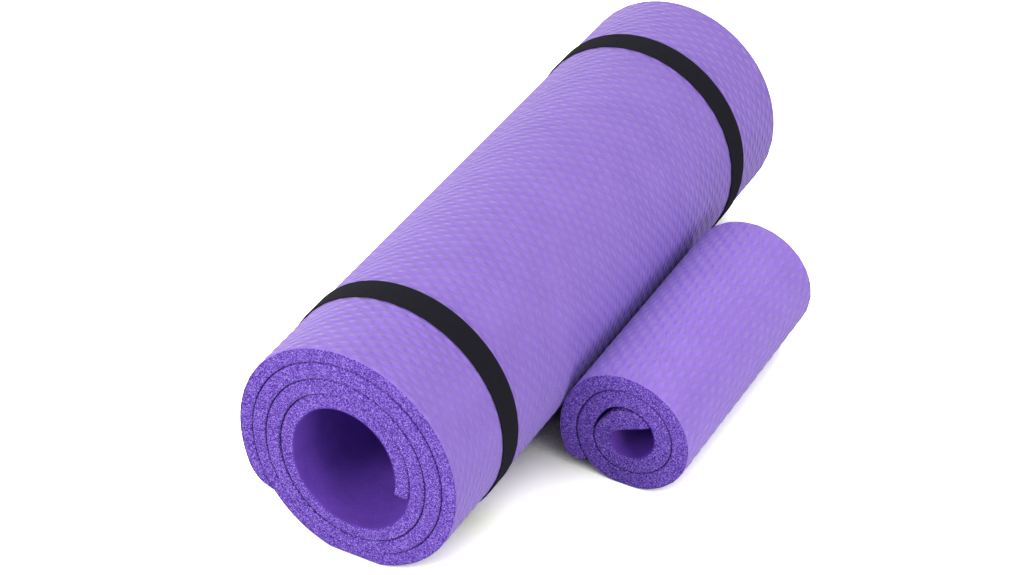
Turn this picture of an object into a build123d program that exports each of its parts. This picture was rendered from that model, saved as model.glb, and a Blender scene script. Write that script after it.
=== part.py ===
from build123d import *
import math
import os

# A rolled exercise mat, held by two elastic straps, and the small rolled knee pad sold with it.
# Frame: +Y runs along the mat roll, +X points from the mat roll to the knee pad, +Z is up.
# The origin is the middle of the flat on the underside of the mat roll, where it rests on the floor.
# All lengths are in millimetres. Angles round a roll start at +X and rise through +Z, and a
# spiral's own angle keeps counting from one turn to the next.

# Mat: one foam sheet, rolled into a spiral
MAT_LENGTH = 1830.0          # of the unrolled sheet, measured half-way between layers
MAT_WIDTH = 610.0            # along the roll
MAT_CENTRE = (0.0, 102.0)    # X and Z of the roll's middle
MAT_START = -18.5            # angle of the sheet's inner end
HOLLOW_RADIUS = 48.6         # mean radius of the sheet's inner surface where the spiral starts
HOLLOW_SHIFT = 0.6           # how far the hollow leans to -X
HOLLOW_DROOP = 3.6           # how far it hangs down
HOLLOW_SQUEEZE = 3.7         # how much taller than round it is, as a change of radius
LAYER_PITCH = 14.0           # mean spacing of the layers: 15 mm foam, rolled tight
PITCH_RIGHT = 0.7            # extra spacing on the +X side
PITCH_TOP = 1.15             # extra spacing at the top
LAYER_GAP = 0.5              # air left between one layer and the next
INNER_END_LEAN = 4.0         # the inner end is cut level, so it leans this many degrees
INNER_END_ROUND = 2.0        # radius on its corners
TAIL_LEAN = 16.0             # at the tail, the outer skin stops this many degrees early
TAIL_REACH = (12.0, 11.0)    # how far the curve of the tail's end runs along the skin, and out
TAIL_TOE_TURN = 53.0         # angle between that curve and straight out, where it meets the roll

# Knee pad: the same foam, about 610 mm long unrolled, lying beside the mat without straps
KNEE_PAD_WIDTH = 254.0       # along its roll
KNEE_PAD_CENTRE = (158.8, 58.2)
KNEE_PAD_Y = 13.0            # the middle of its roll, along Y
KNEE_CORE = 9.4              # radius of the innermost turn's inner surface
KNEE_PITCH = 16.7            # spacing of its layers
RISE_START = 146.0           # each turn is round, and climbs one layer from this angle
RISE_SPAN = 112.0            # over this many degrees
FLAP_START = 33.0            # angle of the inner flap's edge
FLAP_DROOP = 3.2             # how far the flap hangs clear of the next layer
FLAP_LEAVES = (40.0, 120.0)  # angles over which it drops away from that layer
FLAP_RETURNS = (140.0, 215.0)
FLAP_UNDERSIDE = [(19.3, 11.6), (8.5, 6.3), (-2.5, 1.3), (-11.0, -3.9), (-14.6, -12.5)]
HOLLOW_START = 250.0         # angle where the flap's underside joins the round of the hollow
KNEE_TAIL = 947.0            # angle of the loose outer end
KNEE_TAIL_LEAN = 12.0        # the end is cut square, so it leans this many degrees
KNEE_TAIL_ROUND = 3.0        # radius on its corners
KNEE_TAIL_LIFT = 1.2         # how far it stands off the roll
KNEE_TAIL_LIFTS = (900.0, 955.0)

# Straps: 25 mm woven elastic, each sewn into a loop with its ends lapped
STRAP_WIDTH = 25.0
STRAP_THICKNESS = 1.2
STRAP_CLEARANCE = 0.25
FRONT_STRAP_Y = -217.0       # middle of the strap nearer the -Y end
REAR_STRAP_Y = 221.0
LAP_ANGLE = 172.0            # middle of the sewn lap, on the -X side
LAP_LENGTH = 22.0
STITCH_RADIUS = 0.35
STITCH_LENGTH = 2.2
STITCH_PITCH = 2.9
STITCH_MARGIN = 3.2          # from the sewn box to the edges of the lap

# The straps run under the mat, so the mat stands on the floor only between them.
REST_LENGTH = 150.0
STRAP_ROOM = STRAP_THICKNESS + STRAP_CLEARANCE

SPLINE_STEP = 12.0           # degrees between the points of a spiral curve
OUTLINE_STEP = 5.0           # degrees between the points that carry a taut strap
LENGTH_STEP = 0.5            # degrees between the steps that add up a sheet's length
BELOW = -20.0                # lower than anything in the model
ALONG_ROLL = Vector(0, 1, 0)


def polar(centre, radius, degrees):
    """X and Z of a point at an angle round a roll."""
    angle = math.radians(degrees)
    return (centre[0] + radius * math.cos(angle), centre[1] + radius * math.sin(angle))


def at(point, y=0.0):
    """A point of the X-Z cross-section as a vector."""
    return Vector(point[0], y, point[1])


def direction(degrees):
    return at(polar((0, 0), 1, degrees))


def angles(start, stop, step=SPLINE_STEP):
    """Evenly spaced angles from start to stop, no further apart than step."""
    count = max(2, math.ceil(abs(stop - start) / step))
    return [start + (stop - start) * i / count for i in range(count + 1)]


def ease(value, start, stop):
    """0 before start, 1 after stop, and smooth between."""
    t = min(1.0, max(0.0, (value - start) / (stop - start)))
    return t * t * (3 - 2 * t)


def spiral(centre, radius_at, start, stop):
    """A smooth curve round a centre whose radius depends on its angle."""
    return Edge.make_spline([at(polar(centre, radius_at(d), d)) for d in angles(start, stop)])


def nearest_corners(face, points):
    return [min(face.vertices(), key=lambda v: (v.center() - p).length) for p in points]


def along_roll(face, length, y_start=0.0):
    """A cross-section pulled out along the roll."""
    return extrude(face, length, dir=ALONG_ROLL).moved(Location((0, y_start, 0)))


def slab(low, high, y_low, y_high):
    """A wide block between two heights and two places along the roll, to trim with."""
    block = Box(1000, y_high - y_low, high - low)
    return block.moved(Location((0, (y_low + y_high) / 2, (low + high) / 2)))


# ---- mat ----


def mat_inner(degrees):
    """Radius of the sheet's inner surface, on the spiral's own angle."""
    a = math.radians(degrees)
    hollow = HOLLOW_RADIUS - HOLLOW_SHIFT * math.cos(a) - HOLLOW_DROOP * math.sin(a)
    hollow -= HOLLOW_SQUEEZE * math.cos(2 * a)
    pitch = LAYER_PITCH + PITCH_RIGHT * math.cos(a) + PITCH_TOP * math.sin(a)
    return hollow + pitch * degrees / 360


def mat_outer(degrees):
    return mat_inner(degrees + 360) - LAYER_GAP


def mat_tail_angle():
    """The spiral angle at which the sheet has used up its length."""
    used = 0.0
    angle = MAT_START
    while used < MAT_LENGTH:
        used += math.radians(LENGTH_STEP) * (mat_inner(angle) + mat_inner(angle + 360)) / 2
        angle += LENGTH_STEP
    return angle


MAT_TAIL = mat_tail_angle()
TAIL_SHOULDER = MAT_TAIL - TAIL_LEAN / 2
TAIL_TOE = MAT_TAIL + TAIL_LEAN / 2


def tail_curve():
    """The rounded outer end of the mat, from its outer skin in to its inner one."""
    shoulder = at(polar(MAT_CENTRE, mat_outer(TAIL_SHOULDER), TAIL_SHOULDER))
    toe = at(polar(MAT_CENTRE, mat_inner(TAIL_TOE), TAIL_TOE))
    ahead = shoulder + direction(TAIL_SHOULDER + 90) * TAIL_REACH[0]
    outward = toe + direction(TAIL_TOE - TAIL_TOE_TURN) * TAIL_REACH[1]
    return Edge.make_bezier(shoulder, ahead, outward, toe)


def mat_profile():
    """The rolled sheet seen from its end, before the floor flattens it."""
    lean = INNER_END_LEAN / 2
    outer = spiral(MAT_CENTRE, mat_outer, MAT_START + lean, TAIL_SHOULDER)
    inner = spiral(MAT_CENTRE, mat_inner, TAIL_TOE, MAT_START - lean)
    cut = Edge.make_line(inner @ 1, outer @ 0)
    face = Face(Wire([outer, tail_curve(), inner, cut]))
    return face.fillet_2d(INNER_END_ROUND, nearest_corners(face, (cut @ 0, cut @ 1)))


def mat():
    half = MAT_WIDTH / 2
    rest = REST_LENGTH / 2
    roll = along_roll(mat_profile(), MAT_WIDTH, -half)
    roll -= slab(BELOW, 0, -half - 1, half + 1)
    roll -= slab(BELOW, STRAP_ROOM, -half - 1, -rest)
    roll -= slab(BELOW, STRAP_ROOM, rest, half + 1)
    return roll.solid()


# ---- knee pad ----


def knee_inner(degrees):
    """Radius of the pad's inner surface: round turns, each climbing to the next."""
    whole = math.floor((degrees - RISE_START) / 360)
    climb_start = RISE_START + 360 * whole
    turns = whole + ease(degrees, climb_start, climb_start + RISE_SPAN)
    return KNEE_CORE + KNEE_PITCH * turns + KNEE_TAIL_LIFT * ease(degrees, *KNEE_TAIL_LIFTS)


def knee_outer(degrees):
    """Radius of its outer surface, with the inner flap hanging clear of the next layer."""
    droop = ease(degrees, *FLAP_LEAVES) * (1 - ease(degrees, *FLAP_RETURNS))
    lift = KNEE_TAIL_LIFT * (ease(degrees, *KNEE_TAIL_LIFTS) - ease(degrees + 360, *KNEE_TAIL_LIFTS))
    return knee_inner(degrees + 360) + lift - LAYER_GAP - FLAP_DROOP * droop


def knee_pad_profile():
    """The rolled pad seen from its end, before the floor flattens it."""
    centre = KNEE_PAD_CENTRE
    lean = KNEE_TAIL_LEAN / 2
    outer = spiral(centre, knee_outer, FLAP_START, KNEE_TAIL - lean)
    flap = [at((centre[0] + x, centre[1] + z)) for x, z in FLAP_UNDERSIDE]
    turns = [at(polar(centre, knee_inner(d), d)) for d in angles(HOLLOW_START, KNEE_TAIL + lean)]
    inner = Edge.make_spline(flap + turns)
    end = Edge.make_line(outer @ 1, inner @ 1)
    edge = Edge.make_line(inner @ 0, outer @ 0)
    face = Face(Wire([outer, end, inner, edge]))
    return face.fillet_2d(KNEE_TAIL_ROUND, nearest_corners(face, (end @ 0, end @ 1)))


def knee_pad():
    low = KNEE_PAD_Y - KNEE_PAD_WIDTH / 2
    roll = along_roll(knee_pad_profile(), KNEE_PAD_WIDTH, low)
    roll -= slab(BELOW, 0, low - 1, low + KNEE_PAD_WIDTH + 1)
    return roll.solid()


# ---- straps ----


def skin_radius(degrees):
    """Radius of the mat roll's outside at a plain angle, on its outermost turn."""
    return mat_outer(degrees + 360 * math.floor((MAT_TAIL - degrees) / 360))


def roll_outline(offset):
    """Points round the outside of the mat roll, moved out by an offset."""
    tail = tail_curve()
    points = []
    for d in angles(TAIL_TOE - 360, TAIL_SHOULDER, OUTLINE_STEP):
        points.append(polar(MAT_CENTRE, mat_outer(d) + offset, d))
    for share in (0.15, 0.3, 0.45, 0.6, 0.75):
        point = tail @ share + ALONG_ROLL.cross(tail % share) * offset
        points.append((point.X, point.Z))
    return points


def turns_left(a, b, c):
    return (b[0] - a[0]) * (c[1] - a[1]) - (b[1] - a[1]) * (c[0] - a[0]) > 0


def taut_loop(points):
    """The points that a taut band touches, in order round the loop: their convex hull."""
    loop = []
    for path in (sorted(points), sorted(points, reverse=True)):
        half = []
        for point in path:
            while len(half) > 1 and not turns_left(half[-2], half[-1], point):
                half.pop()
            half.append(point)
        loop += half[:-1]
    return loop


def inside_band(offset):
    """All that a taut band holds: round with the roll, straight past the step at its tail."""
    loop = taut_loop(roll_outline(offset))
    spans = [math.dist(loop[i - 1], loop[i]) for i in range(len(loop))]
    tail = spans.index(max(spans))
    curve = Edge.make_spline([at(p) for p in loop[tail:] + loop[:tail]])
    return along_roll(Face(Wire([curve, Edge.make_line(curve @ 1, curve @ 0)])), STRAP_WIDTH)


def lap_sector():
    """A wedge from the roll's middle that holds the lapped length of a strap."""
    half = math.degrees(LAP_LENGTH / 2 / skin_radius(LAP_ANGLE))
    rim = [at(polar(MAT_CENTRE, MAT_LENGTH, LAP_ANGLE + side * half)) for side in (-1, 1)]
    return along_roll(Face(Wire.make_polygon([at(MAT_CENTRE), *rim], close=True)), STRAP_WIDTH)


def strap(y_middle):
    """One strap: a loop of webbing, flat under the mat, doubled where its ends are lapped."""
    hole = inside_band(STRAP_CLEARANCE) - slab(BELOW, STRAP_THICKNESS, -1, STRAP_WIDTH + 1)
    lap = inside_band(STRAP_CLEARANCE + 2 * STRAP_THICKNESS) & lap_sector()
    webbing = inside_band(STRAP_CLEARANCE + STRAP_THICKNESS) + lap - hole
    webbing -= slab(BELOW, 0, -1, STRAP_WIDTH + 1)
    return webbing.moved(Location((0, y_middle - STRAP_WIDTH / 2, 0))).solid()


def stitch(degrees, y, run):
    """One stitch: a short round bar of thread, half sunk into the face of the lap."""
    radius = skin_radius(degrees) + STRAP_CLEARANCE + 2 * STRAP_THICKNESS
    place = Plane(at(polar(MAT_CENTRE, radius, degrees), y), z_dir=run)
    return place * Cylinder(STITCH_RADIUS, STITCH_LENGTH)


def evenly(half_length):
    """Places for a row of stitches, either side of its middle."""
    count = int(2 * half_length / STITCH_PITCH)
    return [(i - (count - 1) / 2) * STITCH_PITCH for i in range(count)]


def strap_stitching(y_middle):
    """The sewn box that holds a strap's lap: two rows across it and two along it."""
    per_mm = math.degrees(1 / skin_radius(LAP_ANGLE))
    half_along = LAP_LENGTH / 2 - STITCH_MARGIN
    half_across = STRAP_WIDTH / 2 - STITCH_MARGIN
    stitches = []
    for side in (-1, 1):
        angle = LAP_ANGLE + side * half_along * per_mm
        for y in evenly(half_across):
            stitches.append(stitch(angle, y_middle + y, ALONG_ROLL))
        for run in evenly(half_along):
            angle = LAP_ANGLE + run * per_mm
            stitches.append(stitch(angle, y_middle + side * half_across, direction(angle + 90)))
    return Compound(children=stitches)


def main():
    os.makedirs("parts", exist_ok=True)
    nodes = {
        "mat": mat(),
        "front_strap": strap(FRONT_STRAP_Y),
        "front_strap_stitching": strap_stitching(FRONT_STRAP_Y),
        "rear_strap": strap(REAR_STRAP_Y),
        "rear_strap_stitching": strap_stitching(REAR_STRAP_Y),
        "knee_pad": knee_pad(),
    }
    for name, shape in nodes.items():
        export_step(shape, f"parts/{name}.step")


main()
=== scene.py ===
import math

import bpy
import numpy as np
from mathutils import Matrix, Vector


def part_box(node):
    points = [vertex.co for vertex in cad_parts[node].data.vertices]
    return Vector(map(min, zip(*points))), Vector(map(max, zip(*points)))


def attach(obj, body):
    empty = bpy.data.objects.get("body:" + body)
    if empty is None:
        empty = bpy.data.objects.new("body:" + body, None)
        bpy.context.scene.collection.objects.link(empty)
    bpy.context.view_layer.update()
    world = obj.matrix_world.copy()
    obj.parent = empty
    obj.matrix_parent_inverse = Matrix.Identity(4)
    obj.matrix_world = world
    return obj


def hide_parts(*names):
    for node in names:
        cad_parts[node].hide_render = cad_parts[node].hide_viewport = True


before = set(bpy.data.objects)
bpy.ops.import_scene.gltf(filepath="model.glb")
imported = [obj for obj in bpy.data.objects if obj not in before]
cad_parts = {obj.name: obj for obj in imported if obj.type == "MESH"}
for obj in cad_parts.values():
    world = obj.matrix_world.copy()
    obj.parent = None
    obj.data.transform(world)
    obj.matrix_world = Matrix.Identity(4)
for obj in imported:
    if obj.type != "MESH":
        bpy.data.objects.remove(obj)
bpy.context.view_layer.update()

# A rolled foam exercise mat with two elastic straps, and a small rolled knee pad beside it.
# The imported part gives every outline: each roll is read from the end face of its node as a
# sheet whose inner and outer radius follow an angle that keeps counting from turn to turn.
# Frame: +Y runs along the rolls, +X points from the mat to the knee pad, +Z is up. Metres.

MM = 0.001
TURN = 2 * math.pi

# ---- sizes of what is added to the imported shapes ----

MAT_EYE = (0.0, 0.102)             # a point (x, z) inside the mat's hollow, round which its outline is read
KNEE_EYE = (0.161, 0.052)          # the same for the knee pad
SAME_PLANE = 1e-5                  # points of an end face differ less than this along the roll
LONG_RUN = 15 * MM                 # an outline's straight runs are longer than this, its arcs' are not
FLAT_STEP = 0.8 * MM               # spacing of the points put along them
TIP = math.radians(0.05)           # a roll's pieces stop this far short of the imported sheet's two ends

SKIN = 0.60 * MM                   # thickness of the smooth skin on the foam
SKIN_BED = 0.50 * MM               # how deep the foam under it lies
BED_EASE = math.radians(0.6)       # the foam steps down to that depth over this angle
TUCK = math.radians(14)            # a skin runs on this far under the turn that covers it
SKIN_EDGE = (0.0, 0.15, 0.4, 0.8)  # millimetres from a skin's edge to its closest rows of points
SKIN_PLAIN = 1.4 * MM              # and to the first of its evenly spaced rows
SKIN_GRAIN = 0.012 * MM            # fine unevenness of the skin
SKIN_BACK_ROWS = 24                # rows of points on a skin's hidden side

CORE_STEP = 2.6 * MM               # spacing of the foam core's points round the roll
CORE_FINE = 5.0                    # they stand this many times closer near the sheet's two ends,
CORE_FINE_SPAN = math.radians(18)  # within this angle of them
CORE_ROWS = 45                     # its rows of points along the roll

CUT_DEPTH = 3.0 * MM               # depth of the piece that carries a roll's cut end
CUT_STEP = 0.8 * MM                # spacing of its points, fine enough for single cells
CUT_CELLS = math.ceil(14.5 * MM / CUT_STEP)    # points across the foam's thickness
CUT_FIRST = 0.065                  # share of that thickness from an edge to the first of them
CUT_EDGE = (0.0, 0.012, 0.03)      # and shares at which closer points round the edge off
CUT_BACK_ROWS = 5                  # rows of points on its hidden back
CUT_MARGIN = 1.2 * MM              # the cells fade out this close to an edge
CELL_ROUGH = 0.055 * MM            # how far single cells stand in or out
PIT_SHARE = 0.055                  # share of the points that are a deep pit
PIT_DEPTH = 0.22 * MM
PIT_MARGIN = 0.05                  # share of the thickness at each edge that has no pits
CUT_SWELL = 0.12 * MM              # slow unevenness of the knife's cut,
CUT_SWELL_SPREAD = (6 * MM, 5 * MM)    # and how far one swell reaches round the roll and across the foam
TONE_DEPTH = 0.25 * MM             # painted shade: a cell this deep is darker by one step of the relief attribute
HIDDEN_PAINTED_SHADE = -1.5                 # relief attribute on the sides of a cut end: painted shade where they show in a gap between turns
CUT_WAVER = 0.16 * MM              # how far a sheet's cut edge wanders along the roll,
CUT_WAVER_SPREAD = 47              # in slow waves of about this many degrees
FAR_SHARE = 0.7                    # turns stand out at the far end by this share of what they do at the near
MAT_PROUD = 1.5 * MM               # how far the mat's middle turns stand out at the near end
KNEE_PROUD = 0.5 * MM
EDGE_ROUND = 1.5 * MM              # width of the soft edge round every cut
EDGE_DROP = 0.85 * MM              # how far that edge falls away
SKIN_DROP = 0.6 * EDGE_DROP        # and how far the skin falls away there
RIM = 0.55 * MM                    # width of the dark rim of every turn at a cut: denser foam, and painted shade of the gap between turns
RIM_DARK = 1.25                    # how dark that rim is, its painted shade included
LIP_STEP = 1.0 * MM                # a turn that stands out this far past the next gets a painted highlight on its lip
LIP_PAINTED_LIGHT = 2.0                    # and that painted highlight is lighter than the rim by this much
CORNER_SHADE_WIDTH = 1.3 * MM            # painted shadow: the foam in the corner at the foot of that step is darker over this width
CORNER_PAINTED_SHADE = 0.55

PRESS = 0.12 * MM                  # most that two turns swell towards each other across their gap
PRESS_GROW = 0.6                   # radians over which that begins at the sheet's start
PRESS_FADE = (0.3, 0.02)           # and it fades out between these, in radians before the outermost turn
MOUTH = 0.38 * MM                  # how far each of them draws back from the gap at a cut end
MOUTH_GROW = (0.05, 0.1)           # that grows over these, in radians either side of where turns first meet
REST_HALF = 75 * MM                # the mat stands on the floor for this far either side of its middle
REST_EASE = 14 * MM                # and rises clear of it over this length
SAG_HEIGHT = 26 * MM               # height over which the lowest foam bulges down to the floor
UNDERSIDE = math.radians(990)      # the angle at which the mat's outermost turn passes its lowest point

# Both skins carry the same raised leaves in staggered rows. On the mat they run round the
# roll; the knee pad's foam was cut a quarter turn round, so there they run along it.
LEAF_LENGTH = 16.4 * MM
LEAF_WIDTH = 5.9 * MM
MAT_LEAF = (LEAF_LENGTH, LEAF_WIDTH)        # round the roll, along it
MAT_LEAF_PITCH = (18.3 * MM, 11.0 * MM)
KNEE_LEAF = (1.25 * LEAF_WIDTH, 0.92 * LEAF_LENGTH)
KNEE_LEAF_PITCH = (15.2 * MM, 16.5 * MM)
LEAF_HEIGHT = 0.34 * MM
LEAF_SINK = 0.24 * MM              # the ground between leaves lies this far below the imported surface
LEAF_DRIFT = 0.35 * MM             # how far the rows wander,
LEAF_DRIFT_SPREAD = (31 * MM, 37 * MM)     # in slow waves of about these lengths
LEAF_UNEVEN = 0.18                 # how much the leaves differ in height, as a share,
LEAF_UNEVEN_SPREAD = (11 * MM, 9 * MM)     # over about these distances
LEAF_FADE = (4 * MM, 7 * MM)       # they fade in and out over these lengths at a skin's start and end

STRAP_CORDS = 30                   # rubber cords that rib the elastic, side by side
POINTS_PER_CORD = 5
CORD_HEIGHT = 0.16 * MM
WEBBING = 1.2 * MM                 # thickness of the elastic
WEBBING_MM_WIDE = 25               # its width, as its material counts it
STRAP_BORDER = 0.7 * MM            # width of its rounded borders
STRAP_SHOULDER = 0.35 * MM         # how far those fall away
STRAP_CLEAR = 0.02 * MM            # its inner face stays this far off whatever lies under it
STRAP_WAVER = 0.05 * MM            # slow unevenness of its outer face,
STRAP_WAVER_SPREAD = (9 * MM, 6 * MM)      # over about these distances along and across
STRAP_WANDER = 0.12 * MM           # how far it strays sideways,
STRAP_WANDER_SPREAD = 40 * MM      # in waves of about this length
STRAP_UNDER_ROWS = 9               # points across its inner face
STRAP_UNDER_EDGE = 1 / 30          # share of the width that each soft border takes there
STRAP_UNDER_SOFT = 0.3 * MM        # and how far that border rises
STRAP_STEPS = 560                  # points round a strap
LAP_RAMP = math.radians(3.0)       # the strap climbs onto its own end over this angle,
LAP_TOP = 0.004                    # and is up this many radians before it gets there
LAP_RAMP_STEPS = 24                # points on that climb
DOUBLED = 1.75 * WEBBING           # a strap that is thicker than this lies double

STITCH_OVERRUN = 0.15 * MM         # how far the thread goes on past each end of a packed stitch
STITCH_RISE = 0.16 * MM            # how far a stitch stands up at its middle
STITCH_DIVE = 0.62 * MM            # and how far below that its ends go in
STITCH_STEPS = 14
THREAD_RADIUS = 0.27 * MM
THREAD_PLY = 0.045 * MM            # how far its two plies stand out
THREAD_SIDES = 10


# ---- curves and noise ----


def monotone_curve(xs, ys):
    """A smooth function through points that never overshoots them."""
    steps = np.diff(xs)
    slopes = np.diff(ys) / steps
    before, after = slopes[:-1], slopes[1:]
    agree = before * after > 0
    middle = np.zeros(len(before))
    middle[agree] = 2 * before[agree] * after[agree] / (before[agree] + after[agree])
    tangents = np.concatenate([[slopes[0]], middle, [slopes[-1]]])

    def at(x):
        x = np.clip(x, xs[0], xs[-1])
        i = np.clip(np.searchsorted(xs, x, side="right") - 1, 0, len(steps) - 1)
        t = (x - xs[i]) / steps[i]
        rise = (3 - 2 * t) * t * t
        lead = t * (1 - t) ** 2 * tangents[i]
        lag = t * t * (t - 1) * tangents[i + 1]
        return ys[i] * (1 - rise) + ys[i + 1] * rise + steps[i] * (lead + lag)

    return at


def ease(x, start, stop):
    """0 before start, 1 after stop, and smooth between."""
    t = np.clip((x - start) / (stop - start), 0, 1)
    return t * t * (3 - 2 * t)


def noise(x, y, seed):
    """Smooth random values from -1 to 1, with features about one unit across."""
    table = np.random.default_rng(seed).uniform(-1, 1, (256, 256))
    x, y = np.broadcast_arrays(x, y)
    column, row = np.floor(x).astype(int), np.floor(y).astype(int)
    tx, ty = ease(x - column, 0, 1), ease(y - row, 0, 1)
    corner = [[table[(column + i) % 256, (row + j) % 256] for j in (0, 1)] for i in (0, 1)]
    low = corner[0][0] * (1 - tx) + corner[1][0] * tx
    high = corner[0][1] * (1 - tx) + corner[1][1] * tx
    return low * (1 - ty) + high * ty


def running_total(steps):
    """The sum of the steps up to each point, from 0 at the first."""
    return np.concatenate([[0], np.cumsum(steps)])


def to_edge(share):
    """How far a share from 0 to 1 is from the nearer of its two ends."""
    return np.minimum(share, 1 - share)


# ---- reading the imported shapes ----


def border_edges(faces):
    """Pairs of points that only one of the faces uses."""
    uses = {}
    for corners in faces:
        for edge in zip(corners, corners[1:] + corners[:1]):
            key = tuple(sorted(edge))
            uses[key] = uses.get(key, 0) + 1
    return [edge for edge, count in uses.items() if count == 1 and edge[0] != edge[1]]


def chains(edges):
    """Follows edges from point to point, and gives the points of each closed path in order."""
    nearby = {}
    for a, b in edges:
        nearby.setdefault(a, []).append(b)
        nearby.setdefault(b, []).append(a)
    paths = []
    while nearby:
        path = [next(iter(nearby))]
        while path:
            onward = [p for p in nearby.pop(path[-1], []) if p in nearby]
            if not onward:
                break
            path.append(onward[0])
        paths.append(path)
    return paths


def end_outlines(node):
    """Closed outlines of a node's -Y end face, as ordered points (x, z), longest first."""
    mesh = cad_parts[node].data
    spots = np.array([v.co for v in mesh.vertices])
    low = spots[:, 1].min()
    number = {}
    index = [number.setdefault(tuple(p), len(number)) for p in np.round(spots, 6)]
    places = np.array(list(number))
    in_end = np.abs(places[:, 1] - low) < SAME_PLANE
    faces = [[index[v] for v in face.vertices] for face in mesh.polygons]
    edges = border_edges([corners for corners in faces if in_end[corners].all()])
    return sorted((places[path][:, [0, 2]] for path in chains(edges)), key=len, reverse=True)


def turned(outline, eye):
    """Angle, counted on without a jump, and radius of an outline's points round an eye."""
    away = outline - np.array(eye)
    return np.unwrap(np.arctan2(away[:, 1], away[:, 0])), np.hypot(away[:, 0], away[:, 1])


def with_flats_filled(outline):
    """The same outline with points added along its long straight runs, so that they stay straight."""
    filled = []
    for here, onward in zip(outline, np.roll(outline, -1, axis=0)):
        length = np.linalg.norm(onward - here)
        count = math.ceil(length / FLAT_STEP) if length > LONG_RUN else 1
        filled += [here + (onward - here) * k / count for k in range(count)]
    return np.array(filled)


def without_repeats(angles, radii):
    """The same points with every angle further on than the one before."""
    keep = np.concatenate([[True], np.diff(np.maximum.accumulate(angles)) > 1e-6])
    return angles[keep], radii[keep]


class Sheet:
    """A rolled sheet: between its start and end angle, foam lies from inner to outer radius."""

    def __init__(self, node, eye):
        self.eye = eye
        angles, radii = turned(with_flats_filled(end_outlines(node)[0]), eye)
        first = angles.argmin()
        angles, radii = np.roll(angles, -first), np.roll(radii, -first)
        angles = angles - TURN * round(angles[0] / TURN)
        last = angles.argmax()
        forward = without_repeats(angles[: last + 1], radii[: last + 1])
        back_angles = np.append(angles[last:], angles[0])[::-1]
        back_radii = np.append(radii[last:], radii[0])[::-1]
        sides = [monotone_curve(*forward), monotone_curve(*without_repeats(back_angles, back_radii))]
        self.start, self.end = angles[0], angles[last]
        middle = (self.start + self.end) / 2
        self.inner, self.outer = sorted(sides, key=lambda side: side(middle))
        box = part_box(node)
        self.low, self.high = box[0].y, box[1].y

    def paces(self, angles, radius):
        """The distances between neighbouring angles, along a surface whose radius is given."""
        return np.linalg.norm(np.diff(self.at(angles, radius(angles), 0), axis=0), axis=1)

    def stations(self, start, end, step, radius, fine=1.0, fine_within=0.0):
        """Angles evenly spaced along a surface, closer by a factor near the sheet's ends."""
        angles = np.linspace(start, end, 20000)
        near = np.minimum(angles - self.start, self.end - angles)[1:] < fine_within
        travelled = running_total(self.paces(angles, radius) * np.where(near, fine, 1.0))
        count = max(8, math.ceil(travelled[-1] / step))
        return np.interp(np.linspace(0, travelled[-1], count + 1), travelled, angles)

    def at(self, angles, radii, y):
        """Points at an angle and radius, at a place along the roll."""
        angles, radii, y = np.broadcast_arrays(angles, radii, y)
        x = self.eye[0] + radii * np.cos(angles)
        z = self.eye[1] + radii * np.sin(angles)
        return np.stack([x, y, z], axis=-1)


# ---- building closed meshes ----


def sag(points):
    """Lets the lowest foam of the mat bulge down to the floor between the straps' ways."""
    raised = SAG_BASE * (1 - ease(np.abs(points[..., 1]), REST_HALF - REST_EASE, REST_HALF))
    low = 1 - ease(points[..., 2], SAG_BASE, SAG_BASE + SAG_HEIGHT)
    points[..., 2] -= raised * low
    return points


def volume_sign(points, quads):
    """Negative when the quads of a closed mesh face inward."""
    a, b, c, d = (points[quads[:, k]] for k in range(4))
    return np.einsum("ij,ij->", a + b + c + d, np.cross(c - a, d - b))


def swept(name, rings, caps):
    """A closed mesh from rings of points, each joined to the next, and faces that cap both ends.

    caps lists the faces of an end as positions round its ring."""
    count, around = rings.shape[:2]
    base = np.arange(count - 1)[:, None] * around
    here = np.arange(around)[None, :]
    onward = (here + 1) % around
    quads = np.stack([base + here, base + onward, base + around + onward, base + around + here], -1)
    quads = quads.reshape(-1, 4)
    last = (count - 1) * around
    near = [list(reversed(face)) for face in caps]
    far = [[last + corner for corner in face] for face in caps]
    points = rings.reshape(-1, 3)
    if volume_sign(points, quads) < 0:
        quads = quads[:, ::-1]
        near = [face[::-1] for face in near]
        far = [face[::-1] for face in far]
    corners = np.concatenate([quads.ravel()] + [np.array(f) for f in near + far])
    sizes = np.concatenate([np.full(len(quads), 4), [len(f) for f in near + far]]).astype(int)
    mesh = bpy.data.meshes.new(name)
    mesh.vertices.add(len(points))
    mesh.vertices.foreach_set("co", points.astype(np.float32).ravel())
    mesh.loops.add(len(corners))
    mesh.loops.foreach_set("vertex_index", corners.astype(np.int32))
    mesh.polygons.add(len(sizes))
    mesh.polygons.foreach_set("loop_start", (np.cumsum(sizes) - sizes).astype(np.int32))
    mesh.polygons.foreach_set("loop_total", sizes.astype(np.int32))
    mesh.update(calc_edges=True)
    mesh.validate()
    mesh.shade_smooth()
    mesh.set_sharp_from_angle(angle=math.radians(50))
    return placed_in_scene(name, mesh)


def placed_in_scene(name, data):
    thing = bpy.data.objects.new(name, data)
    bpy.context.scene.collection.objects.link(thing)
    return thing


def strip_caps(front, back):
    """Cap faces for a ring whose first points run out along a front and the rest return behind it."""
    shares = np.round(np.linspace(0, front - 1, back)).astype(int)
    total = front + back
    faces = []
    for k in range(back - 1):
        out = list(range(shares[k], shares[k + 1] + 1))
        faces.append(out + [total - 2 - k, total - 1 - k])
    return faces


def value_attribute(piece, name, values):
    """Keeps one number per point, for the piece's material to read."""
    attribute = piece.data.attributes.new(name, "FLOAT", "POINT")
    attribute.data.foreach_set("value", np.asarray(values, np.float32).ravel())


def finish_piece(piece, material, body, node=None):
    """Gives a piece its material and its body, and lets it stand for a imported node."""
    piece.data.materials.append(material)
    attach(piece, body)
    if node:
        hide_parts(node)


# ---- foam rolls ----


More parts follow.
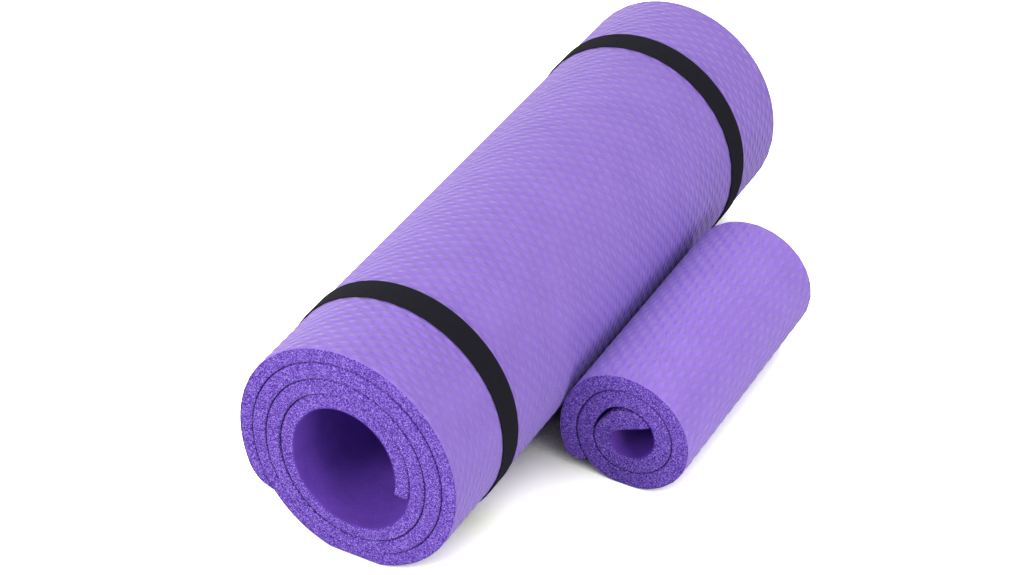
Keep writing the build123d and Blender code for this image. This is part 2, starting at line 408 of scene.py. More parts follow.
def leaves(around, along, pitch, leaf):
    """Height from 0 to 1 of raised leaves in staggered rows. pitch and leaf are (around, along)."""
    drift = LEAF_DRIFT * noise(around / LEAF_DRIFT_SPREAD[0], along / LEAF_DRIFT_SPREAD[1], 3)
    height = np.zeros(np.broadcast(around, along).shape)
    longways = 0 if leaf[0] > leaf[1] else 1
    for offset in (0.0, 0.5):
        away = [
            ((place / step + offset + 0.5) % 1 - 0.5) * step
            for place, step in ((around + drift, pitch[0]), (along + drift, pitch[1]))
        ]
        length = (2 * away[longways] / leaf[longways]) ** 2
        width = (2 * away[1 - longways] / leaf[1 - longways]) ** 2
        dome = np.clip(1 - length, 0, 1) ** 2 - width
        height = np.maximum(height, np.clip(dome, 0, 1))
    uneven = 1 + LEAF_UNEVEN * noise(around / LEAF_UNEVEN_SPREAD[0], along / LEAF_UNEVEN_SPREAD[1], 5)
    return height * uneven


def cell_heights(shape, share, seed):
    """Heights of a cut's open cells, with a deeper pit here and there away from its edges."""
    random = np.random.default_rng(seed)
    cell = random.normal(0, 1, shape)
    pit = random.uniform(0, 1, shape) < PIT_SHARE
    return CELL_ROUGH * cell - PIT_DEPTH * pit * (to_edge(share) > PIT_MARGIN)


def edge_fall(inward):
    """0 to 1: how far a rounded edge has fallen away, by the distance in from it."""
    return np.clip(1 - inward / EDGE_ROUND, 0, 1) ** 2


class Roll:
    """The visible pieces of one rolled sheet, which all ride on one body.

    proud and tight are functions of the angle in degrees. proud says how far a turn stands out
    at the ends, and tight, from 0 to 1, how hard it presses on the next. The bare angles, in
    degrees, are those that the skins leave free at the sheet's tail and at its start."""

    def __init__(self, name, sheet, pitch, leaf, proud, tight, tail_bare, start_bare, sags=False):
        self.name, self.sheet = name, sheet
        self.pitch, self.leaf = pitch, leaf
        self.proud, self.tight = proud, tight
        self.sags = sags
        self.body, self.slot = name + "_roll", name + "_foam"
        self.outer_span = (sheet.end - TURN - TUCK, sheet.end - math.radians(tail_bare))
        self.hollow_span = (sheet.start + math.radians(start_bare), sheet.start + TURN + TUCK)

    def placed(self, angles, radii, y):
        """Points of the roll, with its underside let down if it sags."""
        points = self.sheet.at(angles, radii, y)
        return sag(points) if self.sags else points

    def ends(self, angles):
        """Where along the roll the sheet's two cut edges lie: a turn never sits quite level."""
        degrees = np.degrees(angles)
        raised = self.proud(degrees)
        waver = CUT_WAVER * noise(degrees / CUT_WAVER_SPREAD, 0.5, 11)
        return self.sheet.low - raised + waver, self.sheet.high + FAR_SHARE * raised - waver

    def bed(self, angles, span):
        """How far the foam lies back under a skin that covers a span of angles."""
        begun = ease(angles, span[0], span[0] + BED_EASE)
        ended = ease(angles, span[1] - BED_EASE, span[1])
        return SKIN_BED * begun * (1 - ended)

    def pressed(self, angles):
        """How far a turn's outer face swells towards the next turn's inner face, and that face back."""
        covered = 1 - ease(angles, self.outer_span[0] - PRESS_FADE[0], self.outer_span[0] - PRESS_FADE[1])
        begun = ease(angles, self.sheet.start, self.sheet.start + PRESS_GROW)
        return PRESS * self.tight(np.degrees(angles)) * covered * begun

    def foam_inner(self, angles):
        """Radius of the foam's inner face."""
        swell = self.pressed(angles - TURN) * (angles > self.sheet.start + TURN)
        return self.sheet.inner(angles) + self.bed(angles, self.hollow_span) - swell

    def foam_outer(self, angles):
        """Radius of the foam's outer face."""
        outer = self.sheet.outer(angles) - self.bed(angles, self.outer_span) + self.pressed(angles)
        return np.maximum(outer, self.foam_inner(angles))

    def drawn_back(self, angles):
        """How far the inner and outer edge of the cut face draw back where another turn lies."""
        before, after = MOUTH_GROW
        inner_covered = ease(angles, self.hollow_span[1] - before, self.hollow_span[1] + after)
        outer_covered = 1 - ease(angles, self.outer_span[0] - after, self.outer_span[0] + before)
        return MOUTH * inner_covered, MOUTH * outer_covered

    def stands_out(self, angles):
        """0 to 1: how far a turn's end stands clear of the end of the turn outside it."""
        degrees = np.degrees(angles)
        step = self.proud(degrees) - self.proud(degrees + 360)
        beside = (angles > self.sheet.start) & (angles + TURN < self.sheet.end)
        return np.clip(step / LIP_STEP, 0, 1) * beside

    def rim_tone(self, angles, share, inward):
        """How dark a cut is near the edges of its turns: denser foam and painted shade of the gaps, with a
        painted highlight on a lip that stands out and painted shadow in the corner at its foot.
        """
        # painted highlight on the outer edge of a turn that stands proud of the next
        painted_lip_light = LIP_PAINTED_LIGHT * self.stands_out(angles)[:, None] * (share > 0.5)
        # painted shadow that the proud turn would cast in the corner at its foot
        corner = self.stands_out(angles - TURN)[:, None] * (share < 0.5)
        rim = np.clip(1 - inward / RIM, 0, 1) * (RIM_DARK - painted_lip_light)
        return rim + CORNER_PAINTED_SHADE * corner * np.clip(1 - inward / CORNER_SHADE_WIDTH, 0, 1)

    def core(self, material):
        """The foam between the two cut ends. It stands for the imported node."""
        sheet = self.sheet
        span = (sheet.start + TIP, sheet.end - TIP)
        angles = sheet.stations(*span, CORE_STEP, sheet.outer, CORE_FINE, CORE_FINE_SPAN)
        low, high = self.ends(angles)
        y = (low + CUT_DEPTH)[:, None] + (high - low - 2 * CUT_DEPTH)[:, None] * np.linspace(0, 1, CORE_ROWS)
        outside = self.placed(angles[:, None], self.foam_outer(angles)[:, None], y)
        inside = self.placed(angles[:, None], self.foam_inner(angles)[:, None], y)
        rings = np.concatenate([outside, inside[:, ::-1]], axis=1)
        piece = swept(self.name + "_foam", rings, strip_caps(CORE_ROWS, CORE_ROWS))
        finish_piece(piece, material, self.body, self.name)

    def cut_end(self, side, material, seed):
        """One cut end of the roll: open cells over the whole face, with a soft edge."""
        sheet = self.sheet
        angles = sheet.stations(sheet.start + TIP, sheet.end - TIP, CUT_STEP, sheet.outer)
        inner = self.foam_inner(angles)
        thick = self.foam_outer(angles) - inner
        edge = np.array(CUT_EDGE)
        cells = np.linspace(CUT_FIRST, 1 - CUT_FIRST, CUT_CELLS)
        share = np.concatenate([edge, cells, 1 - edge[::-1]])
        low_edge, high_edge = self.drawn_back(angles)
        radii = (inner + low_edge)[:, None] + (thick - low_edge - high_edge)[:, None] * share
        inward = to_edge(share) * thick[:, None]
        rough = cell_heights(radii.shape, share, seed)
        travelled = np.cumsum(np.full(len(angles), CUT_STEP))[:, None]
        swell = CUT_SWELL * noise(travelled / CUT_SWELL_SPREAD[0], radii / CUT_SWELL_SPREAD[1], seed + 1)
        body = np.clip(inward / CUT_MARGIN, 0, 1) ** 2
        out = (rough + swell) * body - EDGE_DROP * edge_fall(inward)
        low, high = self.ends(angles)
        face_y = (low[:, None] - out) if side < 0 else (high[:, None] + out)
        back_y = (low + CUT_DEPTH) if side < 0 else (high - CUT_DEPTH)
        back_radii = inner[:, None] + thick[:, None] * np.linspace(1, 0, CUT_BACK_ROWS)
        face = self.placed(angles[:, None], radii, face_y)
        back = self.placed(angles[:, None], back_radii, back_y[:, None])
        part = "front_cut" if side < 0 else "rear_cut"
        rings = np.concatenate([face, back], axis=1)
        piece = swept(f"{self.name}_{part}", rings, strip_caps(len(share), CUT_BACK_ROWS))
        # painted shade: deeper cells, rims and corners darker, and painted light on a standing lip
        tone = rough * body / TONE_DEPTH - self.rim_tone(angles, share, inward)
        tone = np.concatenate([tone, np.full_like(back_radii, HIDDEN_PAINTED_SHADE)], axis=1)
        value_attribute(piece, "relief", tone)
        finish_piece(piece, material, self.body)

    def skin(self, part, span, radius, outward, step, height, material):
        """A thin closed skin on the outside of the roll, or on the inside of its hollow.

        step is its points' spacing (round the roll, along it), and height scales its leaves."""
        angles = self.sheet.stations(*span, step[0], radius)
        around = running_total(self.sheet.paces(angles, radius))[:, None]
        length = self.sheet.high - self.sheet.low
        edge = np.array(SKIN_EDGE) * MM / length
        plain = SKIN_PLAIN / length
        rows = np.linspace(plain, 1 - plain, math.ceil(length / step[1]))
        share = np.concatenate([edge, rows, 1 - edge[::-1]])
        low, high = self.ends(angles)
        y = low[:, None] + (high - low)[:, None] * share
        relief = leaves(around, y, self.pitch, self.leaf)
        fade = ease(around, 0, LEAF_FADE[0]) * ease(around[-1] - around, 0, LEAF_FADE[1])
        grain = SKIN_GRAIN * np.random.default_rng(17).normal(0, 1, y.shape)
        drop = SKIN_DROP * edge_fall(to_edge(share) * length)
        rise = (relief * LEAF_HEIGHT - LEAF_SINK + grain) * height * fade - drop
        face = self.placed(angles[:, None], radius(angles)[:, None] + outward * rise, y)
        back_y = low[:, None] + (high - low)[:, None] * np.linspace(0, 1, SKIN_BACK_ROWS)[::-1]
        back = self.placed(angles[:, None], (radius(angles) - outward * SKIN)[:, None], back_y)
        rings = np.concatenate([face, back], axis=1)
        piece = swept(f"{self.name}_{part}_skin", rings, strip_caps(len(share), SKIN_BACK_ROWS))
        values = np.concatenate([relief * fade * height, np.zeros(back.shape[:2])], axis=1)
        value_attribute(piece, "relief", values)
        finish_piece(piece, material, self.body)

    def build(self, skin_material, cut_material, hollow_material, skin_step, seed):
        """All five pieces of the roll."""
        self.core(cut_material)
        self.cut_end(-1, cut_material, seed)
        self.cut_end(1, cut_material, seed + 20)
        self.skin("outer", self.outer_span, self.sheet.outer, 1, skin_step, 1.0, skin_material)
        hollow_step = (3.0 * MM, 6.0 * MM)
        self.skin("hollow", self.hollow_span, self.sheet.inner, -1, hollow_step, 0.0, hollow_material)


def mat_proud(degrees):
    """The mat's second and third turns stand a little proud of the outermost one."""
    return MAT_PROUD * ease(degrees, 150, 330) * (1 - ease(degrees, 830, 1020))


def mat_tight(degrees):
    """The mat's innermost turn stands clear; the others press together, most on the +X side."""
    return ease(degrees, 300, 380) * (0.62 + 0.33 * np.cos(np.radians(degrees - 20)))


def knee_proud(degrees):
    """The knee pad's middle turn stands very slightly proud."""
    return KNEE_PROUD * ease(degrees, 180, 400) * (1 - ease(degrees, 560, 700))


def knee_tight(degrees):
    """The knee pad's innermost turn stands clear; the others press together, most at the top."""
    return ease(degrees, 240, 330) * (0.55 + 0.25 * np.cos(np.radians(degrees - 80)))


# ---- straps ----


def strap_radius(node):
    """The radius of a strap's inner face, as a function of the angle from 0 to a full turn."""
    outlines = end_outlines(node)
    inside = min(outlines, key=lambda outline: turned(outline, MAT_EYE)[1].mean())
    angles, radii = turned(with_flats_filled(inside), MAT_EYE)
    order = np.argsort(angles % TURN)
    angles, radii = without_repeats((angles % TURN)[order], radii[order])
    angles = np.concatenate([angles[-6:] - TURN, angles, angles[:6] + TURN])
    radii = np.concatenate([radii[-6:], radii, radii[:6]])
    return monotone_curve(angles, radii)


def lap_span(node):
    """Angles between which a strap's node is two layers thick."""
    rings = [turned(outline, MAT_EYE) for outline in end_outlines(node)]
    outer = max(rings, key=lambda ring: ring[1].mean())
    angles = outer[0] % TURN
    doubled = angles[outer[1] - strap_radius(node)(angles) > DOUBLED]
    return doubled.min(), doubled.max()


def strap_path(node):
    """Points (x, z) along a strap's inner face from end to end, and the outward directions there.

    The strap goes once round, and then on over its own start as far as the lap does."""
    lap_start, lap_end = lap_span(node)
    once_round = lap_start + TURN
    angles = np.unique(np.concatenate([
        np.linspace(lap_start, lap_end + TURN, STRAP_STEPS),
        np.linspace(once_round - LAP_RAMP, once_round, LAP_RAMP_STEPS),
    ]))
    climb = (WEBBING + STRAP_CLEAR) * ease(angles, once_round - LAP_RAMP, once_round - LAP_TOP)
    radii = strap_radius(node)(angles % TURN)
    path = np.stack([MAT_EYE[0] + radii * np.cos(angles), MAT_EYE[1] + radii * np.sin(angles)], -1)
    ahead = np.gradient(path, axis=0)
    ahead /= np.linalg.norm(ahead, axis=1)[:, None]
    outward = np.stack([ahead[:, 1], -ahead[:, 0]], -1)
    return path + outward * climb[:, None], outward


def ribbed_face(width, travelled, low):
    """Places across a strap, from 0 to 1, and its outer face's heights there: cords and soft borders."""
    share = np.linspace(0, 1, STRAP_CORDS * POINTS_PER_CORD + 1)
    cord = np.abs(np.sin(np.pi * share * STRAP_CORDS)) ** 0.8
    border = np.clip(to_edge(share) * width / STRAP_BORDER, 0, 1)
    shoulder = STRAP_SHOULDER * (1 - np.sqrt(1 - (1 - border) ** 2))
    along, across = travelled[:, None] / STRAP_WAVER_SPREAD[0], (low + width * share) / STRAP_WAVER_SPREAD[1]
    waver = STRAP_WAVER * noise(along, across, 31) * (border > 0.99)
    return share, WEBBING - CORD_HEIGHT * (1 - cord) - shoulder + waver


def plain_face():
    """The same for its inner face, which is plain with soft borders, counted back from 1 to 0."""
    share = np.linspace(1, 0, STRAP_UNDER_ROWS)
    border = np.clip(to_edge(share) / STRAP_UNDER_EDGE, 0, 1)
    return share, STRAP_CLEAR + STRAP_UNDER_SOFT * (1 - border)


def strap(name, node, body, material):
    """A ribbed elastic strap: one band that goes once round and ends on top of its own start."""
    path, outward = strap_path(node)
    travelled = running_total(np.linalg.norm(np.diff(path, axis=0), axis=1))
    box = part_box(node)
    low, width = box[0].y, box[1].y - box[0].y
    top_share, top = ribbed_face(width, travelled, low)
    under_share, under = plain_face()
    share = np.concatenate([top_share, under_share])
    height = np.concatenate([top, np.broadcast_to(under, (len(path), len(under)))], axis=1)
    places = path[:, None, :] + outward[:, None, :] * height[..., None]
    wander = STRAP_WANDER * noise(travelled / STRAP_WANDER_SPREAD, 0.5, 33)[:, None]
    ground = np.where(np.arange(len(share)) < len(top_share), 0.0, STRAP_CLEAR)
    z = np.maximum(places[..., 1], ground)
    rings = np.stack([places[..., 0], low + width * share + wander, z], -1)
    piece = swept(name, rings, strip_caps(len(top_share), len(under_share)))
    value_attribute(piece, "along", np.broadcast_to(travelled[:, None] / MM, height.shape))
    value_attribute(piece, "across", np.broadcast_to(share * WEBBING_MM_WIDE, height.shape))
    finish_piece(piece, material, body, node)


def islands(mesh):
    """The points of each separate lump of a mesh."""
    parent = list(range(len(mesh.vertices)))

    def root(i):
        while parent[i] != i:
            parent[i] = parent[parent[i]]
            i = parent[i]
        return i

    spots = {}
    for v in mesh.vertices:
        key = tuple(round(c, 6) for c in v.co)
        if key in spots:
            parent[root(v.index)] = root(spots[key])
        spots.setdefault(key, v.index)
    for e in mesh.edges:
        parent[root(e.vertices[0])] = root(e.vertices[1])
    groups = {}
    for v in mesh.vertices:
        groups.setdefault(root(v.index), []).append(list(v.co))
    return [np.array(group) for group in groups.values()]


def stitch(lump):
    """Rings of points along one packed stitch, arching out of the webbing and back in, and their twist."""
    middle = lump.mean(0)
    run = np.linalg.svd(lump - middle, full_matrices=False)[2][0]
    half = np.abs((lump - middle) @ run).max() + STITCH_OVERRUN
    out = Vector((middle[0] - MAT_EYE[0], 0, middle[2] - MAT_EYE[1])).normalized()
    out = np.array(out) - run * float(np.dot(out, run))
    out /= np.linalg.norm(out)
    side = np.cross(run, out)
    t = (2 * np.arange(STITCH_STEPS + 1) / STITCH_STEPS - 1)[:, None]
    turn = (TURN * np.arange(THREAD_SIDES) / THREAD_SIDES)[None, :]
    twist = np.cos(2 * turn + 7 * t)
    lift = STITCH_RISE - STITCH_DIVE * t ** 4
    centre = middle + run * half * t + out * lift
    thick = (THREAD_RADIUS + THREAD_PLY * twist)[..., None]
    spokes = np.cos(turn)[..., None] * side + np.sin(turn)[..., None] * out
    return centre[:, None, :] + thick * spokes, twist


def stitching(name, node, body, material):
    """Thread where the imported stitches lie, all of a strap's stitches as one piece."""
    vertices, faces, twists = [], [], []
    ring = range(THREAD_SIDES)
    for lump in islands(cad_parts[node].data):
        points, twist = stitch(lump)
        first = len(vertices)
        vertices += [tuple(point) for point in points.reshape(-1, 3)]
        twists += list(twist.ravel())
        for start in range(first, first + STITCH_STEPS * THREAD_SIDES, THREAD_SIDES):
            for j in ring:
                a, b = start + j, start + (j + 1) % THREAD_SIDES
                faces.append((a, b, b + THREAD_SIDES, a + THREAD_SIDES))
        faces.append(tuple(first + j for j in reversed(ring)))
        faces.append(tuple(first + STITCH_STEPS * THREAD_SIDES + j for j in ring))
    mesh = bpy.data.meshes.new(name)
    mesh.from_pydata(vertices, [], faces)
    mesh.shade_smooth()
    piece = placed_in_scene(name, mesh)
    value_attribute(piece, "relief", twists)
    finish_piece(piece, material, body, node)


# ---- materials ----


class Nodes:
    """Short calls for building a material from nodes."""

    def __init__(self, name):
        self.material = bpy.data.materials.new(name)
        self.material.use_nodes = True
        self.tree = self.material.node_tree
        self.shader = self.tree.nodes["Principled BSDF"]
        coordinates = self.tree.nodes.new("ShaderNodeTexCoord")
        self.place = coordinates.outputs["Object"]

    def link(self, value, socket):
        """Feeds a socket from another one, or sets it to a plain value."""
        if isinstance(value, bpy.types.NodeSocket):
            self.tree.links.new(value, socket)
        elif value is not None:
            socket.default_value = value

    def noise(self, scale, detail=2.0, rough=0.5):
        """Noise with scale features to the metre."""
        node = self.tree.nodes.new("ShaderNodeTexNoise")
        self.link(self.place, node.inputs["Vector"])
        node.inputs["Scale"].default_value = scale
        node.inputs["Detail"].default_value = detail
        node.inputs["Roughness"].default_value = rough
        return node.outputs["Fac"]

    def cells(self, size):
        """Foam cells of a size: the distance to each one's middle, and one random value for each."""
        node = self.tree.nodes.new("ShaderNodeTexVoronoi")
        self.link(self.place, node.inputs["Vector"])
        node.inputs["Scale"].default_value = 1 / size
        split = self.tree.nodes.new("ShaderNodeSeparateColor")
        self.tree.links.new(node.outputs["Color"], split.inputs["Color"])
        return node.outputs["Distance"], split.outputs["Red"]

    def attribute(self, name):
        node = self.tree.nodes.new("ShaderNodeAttribute")
        node.attribute_name = name
        return node.outputs["Fac"]

    def math(self, operation, a, b=None, c=None):
        node = self.tree.nodes.new("ShaderNodeMath")
        node.operation = operation
        for value, socket in zip((a, b, c), node.inputs):
            self.link(value, socket)
        return node.outputs[0]

    def weighted(self, *terms):
        """The sum of values, each given with its weight."""
        total = None
        for value, weight in terms:
            term = self.math("MULTIPLY", value, weight)
            total = self.math("ADD", total, term) if total else term
        return total

    def stretch(self, value, low, high, to_low=0.0, to_high=1.0):
        """Maps low..high to to_low..to_high, and stays within those."""
        node = self.tree.nodes.new("ShaderNodeMapRange")
        self.link(value, node.inputs["Value"])
        numbers = {"From Min": low, "From Max": high, "To Min": to_low, "To Max": to_high}
        for socket, number in numbers.items():
            node.inputs[socket].default_value = number
        return node.outputs["Result"]

    def mix(self, share, a, b):
        """Colour a where share is 0 and b where it is 1."""
        node = self.tree.nodes.new("ShaderNodeMix")
        node.data_type = "RGBA"
        self.link(share, node.inputs["Factor"])
        for colour, socket in ((a, node.inputs[6]), (b, node.inputs[7])):
            self.link(colour if isinstance(colour, bpy.types.NodeSocket) else (*colour, 1), socket)
        return node.outputs[2]

    def bump(self, height, strength, distance):
        node = self.tree.nodes.new("ShaderNodeBump")
        node.inputs["Strength"].default_value = strength
        node.inputs["Distance"].default_value = distance
        self.link(height, node.inputs["Height"])
        self.tree.links.new(node.outputs["Normal"], self.shader.inputs["Normal"])

    def finish(self, colour, roughness, specular, sheen, sheen_tint):
        """Sets the surface, and gives back the finished material."""
        self.link(colour, self.shader.inputs["Base Color"])
        self.link(roughness, self.shader.inputs["Roughness"])
        self.shader.inputs["Specular IOR Level"].default_value = specular
        self.shader.inputs["Sheen Weight"].default_value = sheen
        self.shader.inputs["Sheen Roughness"].default_value = 0.45
        self.shader.inputs["Sheen Tint"].default_value = (*sheen_tint, 1)
        return self.material


SKIN_LOW = (0.213, 0.111, 0.526)         # the skin's darkest tone, which the ground between leaves nears as painted shade
SKIN_HIGH = (0.359, 0.215, 0.760)        # and its lightest tone, neared on top of the leaves
# painted shade: the inside of the hollow is the same foam skin, coloured darker and deeper
HOLLOW_SHADED_COLOUR = (0.135, 0.055, 0.400)
FOAM = (0.150, 0.060, 0.490)
FOAM_SHADED = (0.020, 0.005, 0.130)        # painted shade: in the depth of a cell, and at a cut's rims and corners
FOAM_LIGHT = (0.390, 0.250, 0.820)       # the lightest cells, and painted light on the cells' walls
WEBBING_COLOUR = (0.0075, 0.0071, 0.0108)
THREAD_DARK = (0.012, 0.012, 0.014)
THREAD_LIGHT = (0.045, 0.044, 0.052)
LEAF_BUMP = 1.25                         # millimetres that the shading adds to the leaves' height


def shaded(colour, factor):
    return tuple(factor * channel for channel in colour)


def skin_material(name, low, high, valley_shade_share, specular=0.26, sheen=0.44, rough=0.46):
    """The foam's closed skin: matte, faintly grained and blotched, lighter on the raised leaves, with painted
    shade on the ground between them.
    """
    nodes = Nodes(name)
    blotch = nodes.stretch(nodes.noise(28, detail=3, rough=0.55), 0.3, 0.7)
    grain = nodes.noise(950, detail=2, rough=0.6)
    relief = nodes.attribute("relief")
    # painted shade: the ground between the leaves is darker than their tops
    colour = nodes.mix(nodes.weighted((relief, valley_shade_share), (blotch, 0.22), (grain, 0.60)), low, high)
    nodes.bump(nodes.weighted((relief, LEAF_BUMP), (grain, 0.04)), strength=1.0, distance=MM)
    uneven = nodes.stretch(nodes.noise(420), 0.3, 0.7, rough, rough + 0.12)
    return nodes.finish(colour, uneven, specular, sheen, sheen_tint=(0.86, 0.77, 1.0))


def foam_material(name, cell_size):
    """Cut foam: every open cell has its own tone, with painted shade in its middle and painted light on its
    thin walls.
    """
    nodes = Nodes(name)
    from_middle, tone = nodes.cells(cell_size)
    # painted light: lighter towards each cell's walls, darker in its middle
    walls = nodes.stretch(from_middle, 0.05, 0.55)
    fine = nodes.noise(1.6 / cell_size, detail=2, rough=0.6)
    shade = nodes.weighted((tone, 0.62), (walls, 0.26), (fine, 0.24))
    # painted shade carried by the relief attribute: pits, rims, corners and sides in gaps
    relief = nodes.stretch(nodes.attribute("relief"), -1.6, 0.5)
    lit = nodes.math("MULTIPLY", nodes.stretch(shade, 0.20, 0.66), relief)
    colour = nodes.mix(nodes.stretch(shade, 0.68, 0.95), nodes.mix(lit, FOAM_SHADED, FOAM), FOAM_LIGHT)
    nodes.bump(shade, strength=0.6, distance=0.3 * MM)
    return nodes.finish(colour, 0.82, specular=0.12, sheen=0.04, sheen_tint=(0.8, 0.7, 1.0))


def webbing_material():
    """Black elastic: soft yarn that crosses the ribs, with a dusty sheen."""
    nodes = Nodes("strap_elastic")
    yarn_pitch = 1.1                     # millimetres along the strap
    yarns = nodes.math("SINE", nodes.math("MULTIPLY", nodes.attribute("along"), TURN / yarn_pitch))
    per_mm = math.pi * STRAP_CORDS / WEBBING_MM_WIDE
    cords = nodes.math("SINE", nodes.math("MULTIPLY", nodes.attribute("across"), per_mm))
    knit = nodes.math("MULTIPLY", yarns, cords)
    fuzz = nodes.noise(1300, detail=3, rough=0.7)
    share = nodes.weighted((nodes.stretch(knit, -1, 1, 0.0, 0.5), 1.0), (fuzz, 0.5))
    colour = nodes.mix(share, shaded(WEBBING_COLOUR, 0.25), shaded(WEBBING_COLOUR, 2.2))
    nodes.bump(nodes.weighted((knit, 0.6), (fuzz, 1.0)), strength=0.7, distance=0.18 * MM)
    rough = nodes.stretch(fuzz, 0.3, 0.7, 0.72, 0.9)
    return nodes.finish(colour, rough, specular=0.08, sheen=0.06, sheen_tint=(0.45, 0.43, 0.55))


def thread_material():
    """Two-ply polyester thread, a little glossier than the webbing it holds."""
    nodes = Nodes("sewing_thread")
    ply = nodes.stretch(nodes.attribute("relief"), -1, 1)
    fibre = nodes.noise(5200, detail=2, rough=0.6)
    colour = nodes.mix(nodes.weighted((ply, 0.7), (fibre, 0.3)), THREAD_DARK, THREAD_LIGHT)
    nodes.bump(fibre, strength=0.5, distance=0.08 * MM)
    rough = nodes.stretch(fibre, 0.3, 0.7, 0.42, 0.6)
    return nodes.finish(colour, rough, specular=0.5, sheen=0.1, sheen_tint=(0.6, 0.6, 0.66))


# ---- stage, light and camera ----

FLOOR_REACH = 14.0                  # half the width of the floor
FLOOR_SEEN = (2.70, 2.86, 2.18)     # how white the camera sees the floor: over-white, so that only deep shadow and painted shade show; tinted against the purple light the mat throws onto it
FLOOR_PAINTED_SHADE_OPEN = (0.02, 0.45)           # openness to the sky at which the painted shade looks black, and fully white
FLOOR_SHADE = 0.09                  # only what stands this near adds to that painted shade
FLOOR_BOUNCE = 0.75                 # how much light it throws back onto the object
SKY = 0.70                          # the studio's light from all round
SKY_GLOSS = 2.00                    # how bright it is in a reflection: white card all round

FRONT_LAMP = {"place": (-0.95, -2.1, 1.3), "target": (0.05, 0, 0.1), "size": 1.1, "watts": 38}
SIDE_LAMP = {"place": (2.1, -0.9, 0.80), "target": (0.1, 0, 0.06), "size": 0.8, "watts": 15}

CAMERA_PLACE = (0.941, -1.734, 1.564)
CAMERA_AZIMUTH = math.radians(28.87)        # it looks this far to the left of +Y
CAMERA_ELEVATION = math.radians(36.95)      # and down by this much
SENSOR_WIDTH = 36                           # millimetres, as the lens is
LENS = 96.7


def floor():
    """A plain white floor that reaches far past the object, with its surface at z = 0."""
    corners = [(x * FLOOR_REACH, y * FLOOR_REACH, 0) for x, y in ((-1, -1), (1, -1), (1, 1), (-1, 1))]
    mesh = bpy.data.meshes.new("floor")
    mesh.from_pydata(corners, [], [(0, 1, 2, 3)])
    mesh.materials.append(floor_material())
    placed_in_scene("floor", mesh)


def floor_material():
    """White paper. The camera sees it whiter than it is, with painted shade that darkens it only close under
    the object.
    """
    nodes = Nodes("floor_paper")
    openness = nodes.tree.nodes.new("ShaderNodeAmbientOcclusion")
    openness.samples = 8
    openness.inputs["Distance"].default_value = FLOOR_SHADE
    # painted shade: the floor seen by the camera darkens where the object stands close
    seen = nodes.mix(nodes.stretch(openness.outputs["AO"], *FLOOR_PAINTED_SHADE_OPEN), (0, 0, 0), FLOOR_SEEN)
    bounce = nodes.math("MULTIPLY", nodes.stretch(nodes.noise(3), 0, 1, 0.98, 1.0), FLOOR_BOUNCE)
    path = nodes.tree.nodes.new("ShaderNodeLightPath").outputs
    tone = nodes.mix(path["Is Camera Ray"], nodes.mix(bounce, (0, 0, 0), (1, 1, 1)), seen)
    paper = nodes.tree.nodes.new("ShaderNodeBsdfDiffuse")
    nodes.tree.links.new(tone, paper.inputs["Color"])
    nodes.tree.links.new(paper.outputs[0], nodes.tree.nodes["Material Output"].inputs["Surface"])
    return nodes.material


def soft_lamp(name, place, target, size, watts):
    """A round area lamp that faces its target."""
    lamp = bpy.data.lights.new(name, "AREA")
    lamp.shape = "DISK"
    lamp.size = size
    lamp.energy = watts
    light = placed_in_scene(name, lamp)
    light.location = place
    light.rotation_euler = (Vector(target) - Vector(place)).to_track_quat("-Z", "Y").to_euler()


def sky():
    """A white studio, even all round: plain white to the camera, and bright in reflections."""
    world = bpy.data.worlds.new("studio")
    bpy.context.scene.world = world
    world.use_nodes = True
    tree = world.node_tree
    path = tree.nodes.new("ShaderNodeLightPath").outputs
    in_gloss = tree.nodes.new("ShaderNodeMix")
    in_gloss.inputs["A"].default_value = SKY
    in_gloss.inputs["B"].default_value = SKY_GLOSS
    tree.links.new(path["Is Glossy Ray"], in_gloss.inputs["Factor"])
    in_camera = tree.nodes.new("ShaderNodeMix")
    in_camera.inputs["B"].default_value = 1.0
    tree.links.new(path["Is Camera Ray"], in_camera.inputs["Factor"])
    tree.links.new(in_gloss.outputs["Result"], in_camera.inputs["A"])
    background = tree.nodes["Background"]
    background.inputs["Color"].default_value = (1, 1, 1, 1)
    tree.links.new(in_camera.outputs["Result"], background.inputs["Strength"])


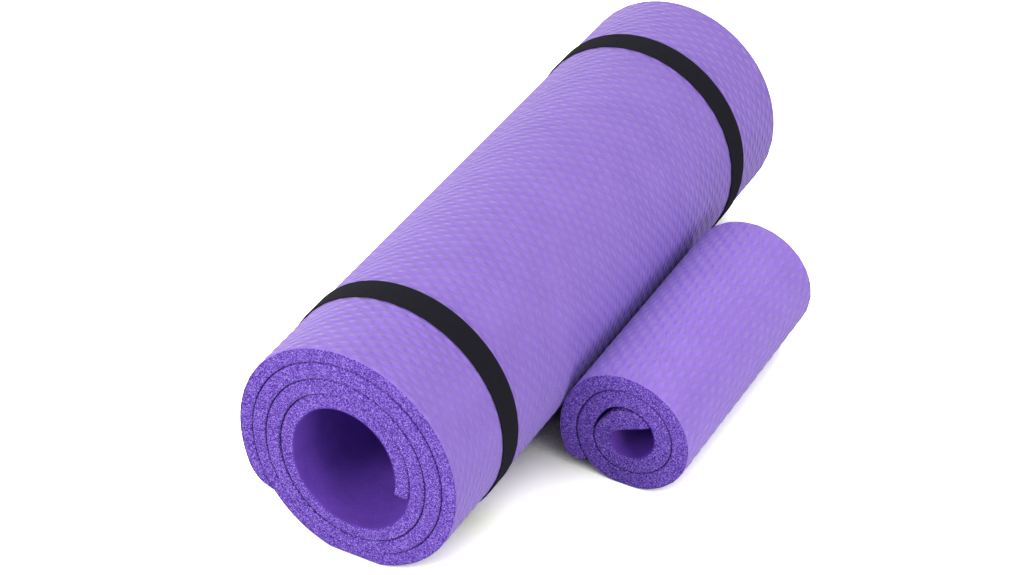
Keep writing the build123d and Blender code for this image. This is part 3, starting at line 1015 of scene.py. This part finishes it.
def camera():
    """A long lens, looking down along the rolls from beyond their near right end."""
    level = math.cos(CAMERA_ELEVATION)
    ahead = Vector((
        -math.sin(CAMERA_AZIMUTH) * level,
        math.cos(CAMERA_AZIMUTH) * level,
        -math.sin(CAMERA_ELEVATION),
    ))
    data = bpy.data.cameras.new("camera")
    data.sensor_width = SENSOR_WIDTH
    data.lens = LENS
    data.clip_start, data.clip_end = 0.05, 60
    seen_from = placed_in_scene("camera", data)
    seen_from.location = CAMERA_PLACE
    seen_from.rotation_euler = ahead.to_track_quat("-Z", "Y").to_euler()
    bpy.context.scene.camera = seen_from


# ---- the model ----

mat_sheet = Sheet("mat", MAT_EYE)
knee_sheet = Sheet("knee_pad", KNEE_EYE)
SAG_BASE = float(mat_sheet.at(UNDERSIDE, mat_sheet.outer(UNDERSIDE), 0)[2])    # height of the mat's underside

mat_skin = skin_material("mat_skin", SKIN_LOW, SKIN_HIGH, 0.16)
# painted light: the knee pad is the same foam as the mat, its skin painted 1.14 times lighter
knee_lit_skin = skin_material("knee_pad_lit_skin", shaded(SKIN_LOW, 1.14), shaded(SKIN_HIGH, 1.14), 0.20)
# painted shade: the hollows' skin is darker than the outer skin of the same foam
hollow_shaded_skin = skin_material(
    "hollow_shaded_skin", shaded(HOLLOW_SHADED_COLOUR, 0.45), shaded(HOLLOW_SHADED_COLOUR, 1.95), 0.0,
    specular=0.02, sheen=0.0, rough=0.80,
)
mat_cut = foam_material("mat_cut_foam", 0.70 * MM)
knee_cut = foam_material("knee_pad_cut_foam", 0.65 * MM)

mat_roll = Roll(
    "mat", mat_sheet, MAT_LEAF_PITCH, MAT_LEAF, mat_proud, mat_tight,
    tail_bare=5.0, start_bare=2.5, sags=True,
)
mat_roll.build(mat_skin, mat_cut, hollow_shaded_skin, (1.75 * MM, 0.9 * MM), 101)

knee_roll = Roll(
    "knee_pad", knee_sheet, KNEE_LEAF_PITCH, KNEE_LEAF, knee_proud, knee_tight,
    tail_bare=14.0, start_bare=2.5,
)
knee_roll.build(knee_lit_skin, knee_cut, hollow_shaded_skin, (0.95 * MM, 1.6 * MM), 201)

elastic = webbing_material()
thread = thread_material()
for end in ("front", "rear"):
    strap(f"{end}_strap_elastic", f"{end}_strap", f"{end}_strap_loop", elastic)
    stitching(f"{end}_strap_thread", f"{end}_strap_stitching", f"{end}_strap_loop", thread)

floor()
sky()
soft_lamp("front_lamp", **FRONT_LAMP)
soft_lamp("side_lamp", **SIDE_LAMP)
camera()
bpy.context.scene.view_settings.view_transform = "Standard"
